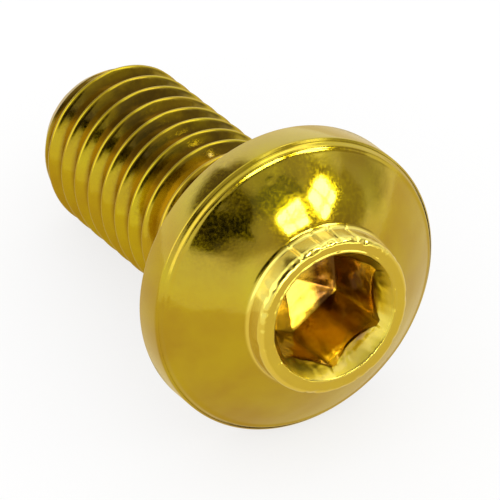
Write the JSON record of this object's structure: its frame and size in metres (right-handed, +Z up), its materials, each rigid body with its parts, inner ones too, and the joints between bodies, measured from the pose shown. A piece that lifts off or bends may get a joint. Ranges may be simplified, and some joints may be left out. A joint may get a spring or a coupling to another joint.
{
  "type": "button head screw",
  "caption": "Gold-plated button head machine screw with a broad flanged head, a raised collar round a hexagon socket, and a short coarse-threaded shank.",
  "frame": {"origin": "on the floor, under the middle of the lying screw's bounding box", "axes": "+X runs from the tip's end to the head's end of the lying screw, +Z is up; the screw's own axis is turned by 15 degrees from +X towards +Y, seen from above, and rises by 12.44 degrees towards the head, which is wider than the shank"},
  "size_m": [0.022, 0.0144, 0.0139],
  "materials": {
    "plated_steel": "polished gold-coloured plating on steel"
  },
  "bodies": {
    "root": {"button_head_screw": "plated_steel"}
  },
  "joints": []
}
